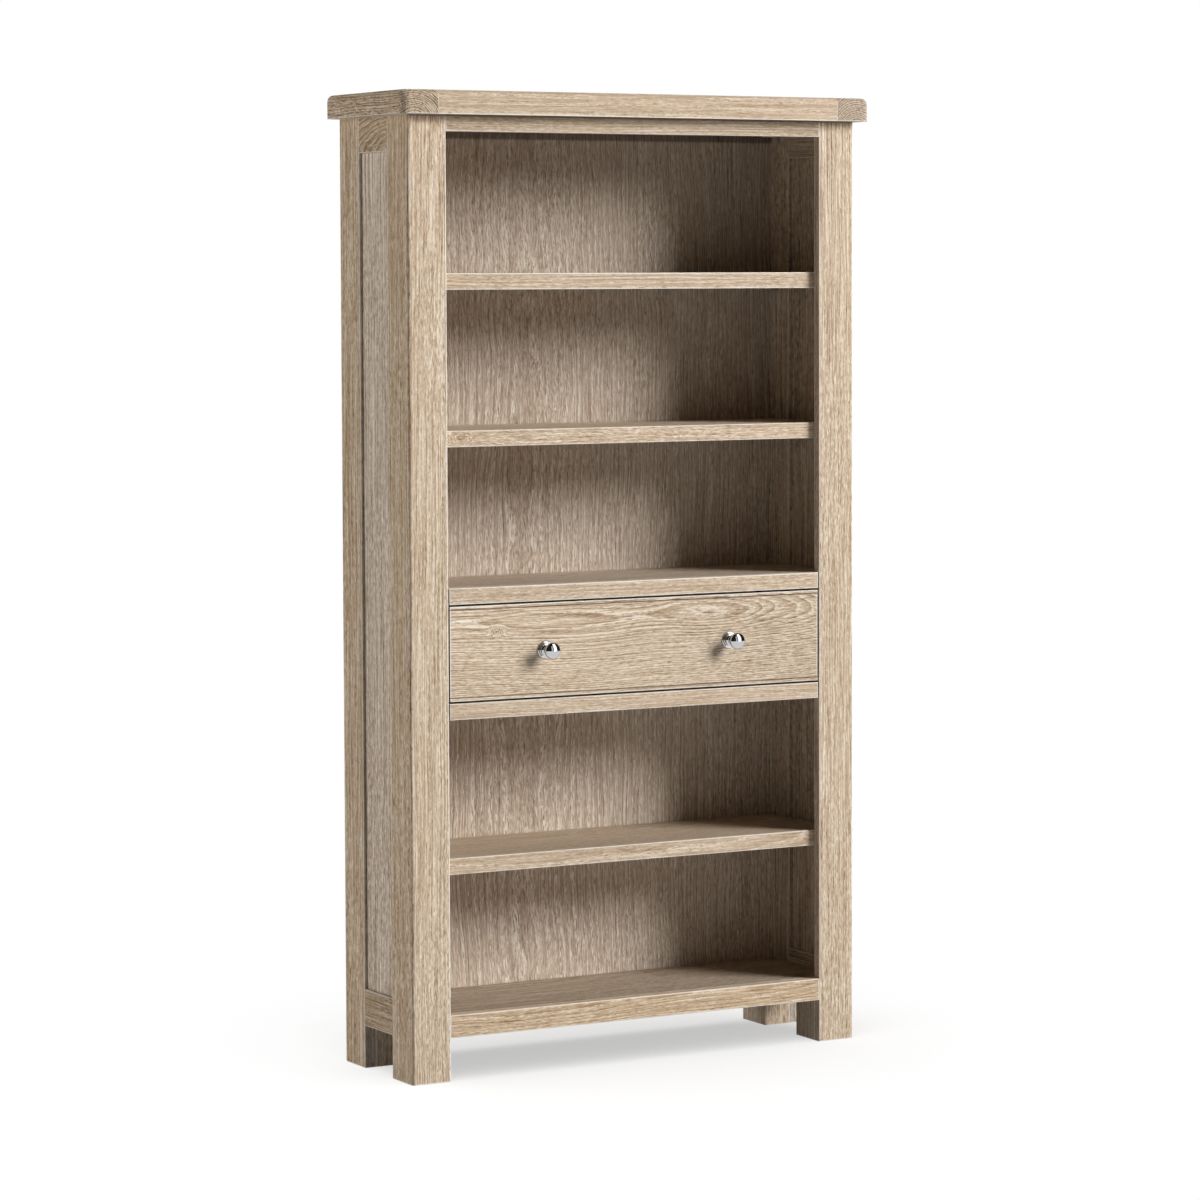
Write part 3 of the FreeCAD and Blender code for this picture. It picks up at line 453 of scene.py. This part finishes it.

# Looks of single boards. pith, arch and knot: places along the grain, across it and into the depth.
# inside: tone and greyness of the faces turned into the bookcase, the darker tone a painted shade. top_tone:
# tone of upper faces, a painted shade.
# fade: reach from the middle along the grain, and the tones at its two ends. slant: climb of the grain.
# dark_front: reach and share of a dark ragged line behind the front corner; on the rear side board it is
# painted shade.
# dark_above: the heights where painted shadow starts and from which it is full, and its share.
# quirk: distance from the edge, half width and share of the painted shade in a moulding's groove.
# plain_arris_low: how far the low corner lies outside the board, so that its arrises there stay plain, with
# neither wear nor painted highlight.
LEFT_INSIDE = (0.93, 0.25)
# Painted shadow under the top's overhang, on the front legs and the front top rail
UNDER_TOP = (1.7520, 1.7545, 0.6)
BOARD_LOOKS = {
    "drawer_front": {
        "pith": (0.0, 0.053, 0.035), "arch": (0.143, 0.16, 0.30), "level_off": 0.03, "gap": 3.3 * MM,
        "figure": 0.35, "knot": (-0.296, 0.038, 0.0), "knot_size": 0.014, "rings": 1.8, "flakes": 0.8,
        "fade": (0.4, 1.10, 0.96), "quirk": (6.4 * MM, 2.0 * MM, 0.28),
    },
    # The back panel darkens towards the top and at its top edge: painted shade, and a painted shadow under
    # the front top rail
    "back_panel": {
        "pith": (0.0, -0.10, 0.09), "arch": (0.30, 0.10, 0.04), "gap": 9.0 * MM, "figure": 0.7,
        "contrast": 0.65, "flakes": 2.2, "tone": 0.93, "grey": 0.20, "fade": (0.9, 1.14, 0.78),
        "dark_above": (1.7200, 1.7260, 0.65),
    },
    "top_left_end_board": {
        "pith": (0.0, -0.012, -0.040), "gap": 3.8 * MM, "figure": 0.25, "contrast": 0.85, "rings": 2.2,
        "tone": 0.98, "grey": -0.15,
    },
    "top_right_end_board": {
        "pith": (0.0, 0.010, -0.046), "gap": 3.8 * MM, "figure": 0.25, "contrast": 0.7, "rings": 2.0,
    },
    "top_middle_board": {"contrast": 0.42, "tone": 1.04},
    "left_front_leg_face_board": {
        "tone": 1.08, "contrast": 0.68, "wear": 1.4, "plain_arris_low": (1.0, 0.0, 0.0), "dark_above": UNDER_TOP,
    },
    "left_front_leg_side_board": {
        "inside": LEFT_INSIDE, "tone": 1.08, "grey": -0.13, "plain_arris_low": (0.0, 1.0, 0.0),
        "dark_front": (3.0 * MM, 0.4),
    },
    # Its dark front edge is painted shade, beside the recessed side panel
    "left_rear_leg_side_board": {
        "inside": LEFT_INSIDE, "tone": 1.06, "grey": -0.13, "dark_front": (0.6 * MM, 0.25),
    },
    "left_side_panel": {"inside": LEFT_INSIDE, "tone": 1.18, "grey": 0.14},
    "left_upper_side_rail": {
        "inside": LEFT_INSIDE, "pith": (0.0, -0.05, -0.03), "slant": 0.16, "gap": 5.5 * MM, "figure": 0.7,
        "contrast": 0.6, "rings": 2.2, "tone": 0.92, "grey": -0.18,
    },
    "left_lower_side_rail": {
        "inside": LEFT_INSIDE, "knot": (0.02, 0.0, 0.0), "knot_size": 0.008, "contrast": 0.8, "tone": 0.86,
        "grey": -0.18,
    },
    "right_front_leg_face_board": {"tone": 1.03, "contrast": 0.68, "dark_above": UNDER_TOP},
    "right_front_leg_side_board": {"inside": (0.88, 0.24)},
    "right_rear_leg_face_board": {"wear": 0.2, "grey": -0.1},
    "right_rear_leg_side_board": {"inside": (0.84, 0.24)},
    "right_rear_foot_block": {"wear": 0.2},
    "right_side_panel": {"inside": (0.80, 0.24), "grey": 0.14, "tone": 1.05},
    "right_upper_side_rail": {"inside": (0.80, 0.24)},
    "right_lower_side_rail": {"inside": (0.80, 0.24)},
    # The front top rail's lower tone is a painted shade under the top's overhang
    "front_top_rail": {"tone": 0.89, "contrast": 0.5, "dark_above": UNDER_TOP},
    "drawer_top_rail": {"tone": 1.04, "contrast": 0.5, "wear": 1.1},
    "drawer_bottom_rail": {"tone": 1.04, "contrast": 0.5},
    "front_bottom_rail": {
        "pith": (0.0, 0.03, 0.05), "arch": (0.1, 0.12, 0.02), "level_off": 0.05, "gap": 3.6 * MM,
        "figure": 0.3, "contrast": 0.5, "rings": 1.2, "wear": 0.9, "tone": 1.05, "grey": -0.13,
    },
    "upper_shelf": {"contrast": 0.45, "wear": 1.2, "tone": 1.03, "top_tone": 0.82},
    "middle_shelf": {
        "knot": (-0.36, 0.0, -0.12), "contrast": 0.6, "tone": 1.06, "top_tone": 0.82,
    },
    "lower_shelf": {
        "pith": (0.0, 0.03, 0.06), "arch": (-0.1, 0.10, 0.02), "level_off": 0.05, "figure": 0.25,
        "contrast": 0.4, "rings": 1.0, "wear": 0.9, "tone": 1.02, "top_tone": 0.80,
    },
    "bottom_board": {"tone": 0.68, "grey": 0.04},
    "fixed_shelf_board": {"tone": 0.76, "grey": 0.15},
    "drawer_divider_board": {"tone": 0.93, "grey": 0.30},
}

# The sides' boards and panels, whose broad faces have coarser lines
SIDEWAYS = {
    side + board for side in ("left_", "right_")
    for board in ("front_leg_side_board", "rear_leg_side_board", "side_panel")
}
SIDEWAYS_FINENESS = 0.5

# How far a face is turned out or up where the outer or upper tone starts, and where it is full; the inner and
# upper tones are painted shade
OUTWARD_TURNS = (0.0, 0.5)
UPWARD_TURNS = (0.5, 0.9)
# Share of a moulding groove's half width that lies in full painted shade
QUIRK_CORE = 0.3


def draw_looks(draw):
    """What differs by chance from board to board."""
    start = draw.uniform(2.0, 40.0)
    lean = draw.uniform(0.55, 1.0) * draw.choice((-1, 1))
    away = draw.uniform(0.14, 0.26)
    return {
        "start": start,
        "pith": (0.0, away * math.sin(lean), away * math.cos(lean)),
        "gap": draw.uniform(3.6, 5.4) * MM,
        "arch": (draw.uniform(-0.3, 0.3), draw.uniform(0.0, 0.06), draw.uniform(0.0, 0.06)),
        "drawn_tone": draw.uniform(0.98, 1.02),
    }


def board_place(t, place, middle, grain, looks):
    """The board's own coordinates: along the grain, across it, and through the depth."""
    x, y, z = t.split(t.vector("SUBTRACT", place, tuple(middle)))
    order = {0: (x, z, y), 1: (y, x, z), 2: (z, x, y)}[grain]
    board = t.join(*order)
    if "slant" in looks:
        tilt = t.product(t.split(board)[0], looks["slant"])
        board = t.vector("ADD", board, t.join(0.0, tilt, 0.0))
    return t.vector("ADD", board, (looks["start"], 0.0, 0.0))


def tone_and_grey(t, rightward, middle, looks):
    """The board's tone and greyness, which differ on its inner faces where its looks say so; the inner faces'
    darker tone is a painted shade.
    """
    tone, grey = looks["tone"] * looks["drawn_tone"], looks["grey"]
    if "inside" in looks:
        outward = t.product(rightward, math.copysign(1.0, middle.x))
        inside_tone, inside_grey = looks["inside"]
        tone = t.fade(outward, *OUTWARD_TURNS, inside_tone * looks["drawn_tone"], tone)
        grey = t.fade(outward, *OUTWARD_TURNS, inside_grey, grey)
    return tone, grey


def add_dark_lines(t, colour, place, box, looks):
    """Dark lines: behind a front corner, painted shade on the rear side board; painted shadow high up under a
    board; painted shade in a moulding's groove.
    """
    low, high = box
    back, up = t.split(place)[1:3]
    # A dark ragged line behind the front corner, painted shade on the rear side board
    if "dark_front" in looks:
        reach, share = looks["dark_front"]
        waves = t.less(t.noise(place, FRONT_LINE_WAVES, detail=1.0)["Fac"], NOISE_MIDDLE)
        behind = t.total(t.less(back, low.y), t.product(waves, 2.0 * reach))
        colour = t.paint(t.fade(behind, 0.0, reach, share, 0.0), colour, PAINTED_SHADE)
    # Painted shadow high up, under the top's overhang and at the back panel's top behind the front top rail
    if "dark_above" in looks:
        start, end, share = looks["dark_above"]
        colour = t.paint(t.fade(up, start, end, 0.0, share), colour, PAINTED_SHADE)
    # Painted shade in the drawer front's moulding grooves
    if "quirk" in looks:
        from_edge, half_width, share = looks["quirk"]
        to_edge = t.math("MINIMUM", t.less(up, low.z), t.less(high.z, up))
        off = t.math("ABSOLUTE", t.less(to_edge, from_edge))
        colour = t.paint(t.fade(off, QUIRK_CORE * half_width, half_width, share, 0.0), colour, PAINTED_SHADE)
    return colour


def add_tones(t, colour, board, upward, looks):
    """Slow changes of tone along the grain, on the back panel a painted shade darker towards the top, and a
    painted shade on the upper faces.
    """
    if "fade" in looks:
        reach, near_tone, far_tone = looks["fade"]
        ends = looks["start"] - reach, looks["start"] + reach
        colour = t.toned(colour, t.fade(t.split(board)[0], *ends, near_tone, far_tone))
    if "top_tone" in looks:
        colour = t.toned(colour, t.fade(upward, *UPWARD_TURNS, 1.0, looks["top_tone"]))
    return colour


def oak(node, group, draw):
    low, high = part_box(node)
    middle, size = (low + high) / 2, high - low
    grain = GRAIN.get(node, max(range(3), key=lambda axis: size[axis]))
    looks = {**PLAIN_LOOKS, **draw_looks(draw), **BOARD_LOOKS.get(node, {})}
    material, t, shader = new_material(node + "_oak")
    coordinates = t.node("ShaderNodeTexCoord").outputs
    place = coordinates["Object"]
    normal = t.split(coordinates["Normal"])
    board = board_place(t, place, middle, grain, looks)
    tone, grey = tone_and_grey(t, normal[0], middle, looks)
    start = Vector((looks["start"], 0.0, 0.0))
    given = {
        "Board": board,
        "Pith": looks["pith"],
        "Arch": tuple(Vector(looks["arch"]) + start),
        "Ring gap": looks["gap"],
        "Figure": looks["figure"],
        "Knot": tuple(Vector(looks["knot"]) + start),
        "Knot size": looks["knot_size"],
        "Contrast": looks["contrast"],
        "Rings": looks["rings"],
        "End grain": t.math("ABSOLUTE", normal[grain]),
        "Tone": tone,
        "Grey": grey,
        "Place": place,
        "Low": tuple(low - Vector(looks["plain_arris_low"])),
        "High": tuple(high),
        "Wear and highlight": looks["wear"],
        "Fineness": SIDEWAYS_FINENESS if node in SIDEWAYS else 1.0,
        "Flakes": looks["flakes"],
        "Level off": looks["level_off"],
    }
    made = t.node("ShaderNodeGroup", node_tree=group)
    for name, value in given.items():
        t.put(made.inputs[name], value)
    colour = add_dark_lines(t, made.outputs["Color"], place, (low, high), looks)
    colour = add_tones(t, colour, board, normal[2], looks)
    t.put(shader.inputs["Base Color"], colour)
    t.put(shader.inputs["Roughness"], made.outputs["Roughness"])
    t.put(shader.inputs["Specular IOR Level"], WOOD_SPECULAR)
    t.bump(shader, WOOD_BUMP, WOOD_BUMP_HEIGHT, made.outputs["Height"])
    finish_with(node, material)


METAL_MARK_LEVELS = (0.3, 0.7)
METAL_BUMP = 0.2


def make_metal(name, colour, roughness, repeats, bump_height):
    material, t, shader = new_material(name)
    place = t.node("ShaderNodeTexCoord").outputs["Object"]
    marks = t.noise(place, repeats, detail=3.0, roughness=0.6)["Fac"]
    t.put(shader.inputs["Base Color"], (*colour, 1.0))
    t.put(shader.inputs["Metallic"], 1.0)
    t.put(shader.inputs["Roughness"], t.fade(marks, *METAL_MARK_LEVELS, *roughness))
    t.bump(shader, METAL_BUMP, bump_height, marks)
    return material


def slot_of(node):
    return NODES[node].material_slots[0].material.name.split(".")[0]


def finish_pieces():
    group = make_oak_group()
    draw = random.Random(11)
    chrome = make_metal(
        "polished_chrome", colour=(0.56, 0.565, 0.57), roughness=(0.03, 0.07), repeats=(900.0, 900.0, 900.0),
        bump_height=0.002 * MM,
    )
    steel = make_metal(
        "zinc_steel", colour=(0.50, 0.50, 0.49), roughness=(0.28, 0.45), repeats=(1500.0, 1500.0, 300.0),
        bump_height=0.02 * MM,
    )
    metals = {"knob_chrome": chrome, "pin_steel": steel, "screw_steel": steel}
    for node in sorted(NODES):
        slot = slot_of(node)
        if slot in metals:
            finish_with(node, metals[slot])
        else:
            oak(node, group, draw)


# Studio: azimuth is from the front towards +X, elevation above the floor, both in degrees
OBJECT_MIDDLE = Vector((0.0, 0.0, 0.9))
KNOB_LEVEL = Vector((0.0, -0.15, 0.78))
LAMP_DISTANCE = 13.0
SHELL_RADIUS = 9.0
PANEL_RADIUS = 0.95 * SHELL_RADIUS
SHELL_STEP = 3.0
WORLD_LIGHT = 0.02
FLOOR_HALF_WIDTH = 20.0
FLOOR_GREY = 0.30
FLOOR_GREY_SHOWN = 0.8
FLOOR_ROUGHNESS = 0.8
# The floor's own white covers a share of what the camera sees, less near the object, where the shadow lies
FLOOR_WHITE_NEAR = 0.53
FLOOR_WHITE_FAR = 0.985
FLOOR_WHITE_FROM = 0.35
FLOOR_WHITE_TO = 1.05


def towards(azimuth, elevation):
    a, e = math.radians(azimuth), math.radians(elevation)
    return Vector((math.sin(a) * math.cos(e), -math.cos(a) * math.cos(e), math.sin(e)))


def shown_rays(t):
    """1 for the rays that show the background: straight from the camera, mirrored or through glass."""
    rays = t.node("ShaderNodeLightPath").outputs
    seen = t.math("MAXIMUM", rays["Is Camera Ray"], rays["Is Glossy Ray"])
    return t.math("MAXIMUM", seen, rays["Is Transmission Ray"])


def make_lamp(data, azimuth, elevation, place=Vector()):
    lamp = link_to_scene(data.name, data)
    turn = towards(azimuth, elevation).to_track_quat("Z", "Y").to_matrix().to_4x4()
    lamp.matrix_world = Matrix.Translation(place) @ turn
    lamp.visible_glossy = False
    return lamp


def make_softbox(name, azimuth, elevation, spread, strength):
    """A round lamp that fills a spread of degrees; at strength 1 a face turned to it shows its colour."""
    data = bpy.data.lights.new(name, "AREA")
    data.shape = "DISK"
    data.size = 2 * LAMP_DISTANCE * math.tan(math.radians(spread / 2))
    data.energy = strength * math.pi ** 2 * LAMP_DISTANCE ** 2
    place = OBJECT_MIDDLE + towards(azimuth, elevation) * LAMP_DISTANCE
    return make_lamp(data, azimuth, elevation, place)


def make_sky_lamp(name, azimuth, elevation, spread, strength):
    """A lamp like a wide patch of sky, alike in every place."""
    data = bpy.data.lights.new(name, "SUN")
    data.angle = math.radians(spread)
    data.energy = strength * math.pi
    return make_lamp(data, azimuth, elevation)


def lights_only(lamp, pieces):
    """The lamp lights these pieces and no others."""
    lit = bpy.data.collections.new(lamp.name + "_on")
    for piece in pieces:
        lit.objects.link(piece)
    lamp.light_linking.receiver_collection = lit


def make_world():
    world = bpy.data.worlds.new("studio")
    bpy.context.scene.world = world
    world.use_nodes = True
    t = Tree(world.node_tree)
    background = world.node_tree.nodes["Background"]
    t.put(background.inputs["Color"], (1.0, 1.0, 1.0, 1.0))
    t.put(background.inputs["Strength"], t.fade(shown_rays(t), 0.0, 1.0, WORLD_LIGHT, 1.0))


def set_surface(material, t, shader_output):
    t.put(material.node_tree.nodes["Material Output"].inputs["Surface"], shader_output)


def make_floor():
    mesh = bpy.data.meshes.new("floor")
    half = FLOOR_HALF_WIDTH
    corners = [(x * half, y * half, 0.0) for x, y in ((-1, -1), (1, -1), (1, 1), (-1, 1))]
    mesh.from_pydata(corners, [], [(0, 1, 2, 3)])
    floor = link_to_scene("floor", mesh)
    material, t, shader = new_material("pale_floor")
    shown = shown_rays(t)
    grey = t.fade(shown, 0.0, 1.0, FLOOR_GREY, FLOOR_GREY_SHOWN)
    t.put(shader.inputs["Base Color"], t.join(grey, grey, grey))
    t.put(shader.inputs["Roughness"], FLOOR_ROUGHNESS)
    t.put(shader.inputs["Specular IOR Level"], 0.0)
    glow = t.node("ShaderNodeEmission")
    away = t.vector("LENGTH", t.node("ShaderNodeTexCoord").outputs["Object"])
    share = t.fade(away, FLOOR_WHITE_FROM, FLOOR_WHITE_TO, FLOOR_WHITE_NEAR, FLOOR_WHITE_FAR)
    blend = t.node("ShaderNodeMixShader")
    t.fill(blend, (t.product(shown, share), shader.outputs[0], glow.outputs[0]))
    set_surface(material, t, blend.outputs[0])
    mesh.materials.append(material)
    return floor


def make_shell(name, azimuths, elevations, strength, radius):
    """Part of a sphere round the knobs that only mirror-like surfaces see: a dark flag or a panel."""
    columns = max(2, round((azimuths[1] - azimuths[0]) / SHELL_STEP) + 1)
    rows = max(2, round((elevations[1] - elevations[0]) / SHELL_STEP) + 1)
    points = []
    for row in range(rows):
        elevation = elevations[0] + (elevations[1] - elevations[0]) * row / (rows - 1)
        for column in range(columns):
            azimuth = azimuths[0] + (azimuths[1] - azimuths[0]) * column / (columns - 1)
            points.append(KNOB_LEVEL + towards(azimuth, elevation) * radius)
    faces = []
    for row in range(rows - 1):
        for column in range(columns - 1):
            corner = row * columns + column
            faces.append((corner, corner + 1, corner + columns + 1, corner + columns))
    mesh = bpy.data.meshes.new(name)
    mesh.from_pydata(points, [], faces)
    material, t, _ = new_material(name)
    glow = t.node("ShaderNodeEmission")
    t.put(glow.inputs["Strength"], strength)
    set_surface(material, t, glow.outputs[0])
    mesh.materials.append(material)
    shell = link_to_scene(name, mesh)
    for kind in ("camera", "diffuse", "transmission", "volume_scatter", "shadow"):
        setattr(shell, "visible_" + kind, False)


def make_studio():
    floor = make_floor()
    make_world()
    for lamp in (
        make_softbox("key_light", azimuth=45.0, elevation=25.0, spread=26.0, strength=1.18),
        make_softbox("fill_light", azimuth=-112.0, elevation=12.0, spread=30.0, strength=0.31),
        make_softbox("back_light", azimuth=165.0, elevation=38.0, spread=40.0, strength=0.50),
    ):
        lights_only(lamp, NODES.values())
    sky = make_sky_lamp("floor_light", azimuth=-40.0, elevation=70.0, spread=100.0, strength=1.46)
    lights_only(sky, [floor])
    make_shell("dark_flag", (-180.0, 180.0), (-4.9, 90.0), strength=0.02, radius=SHELL_RADIUS)
    make_shell("grey_panel", (0.0, 13.0), (-5.1, 36.0), strength=0.75, radius=PANEL_RADIUS)
    make_shell("bright_panel", (20.0, 50.0), (-5.1, 50.0), strength=2.2, radius=PANEL_RADIUS)


bpy.context.scene.view_settings.view_transform = "Standard"
make_camera()
finish_pieces()
make_studio()
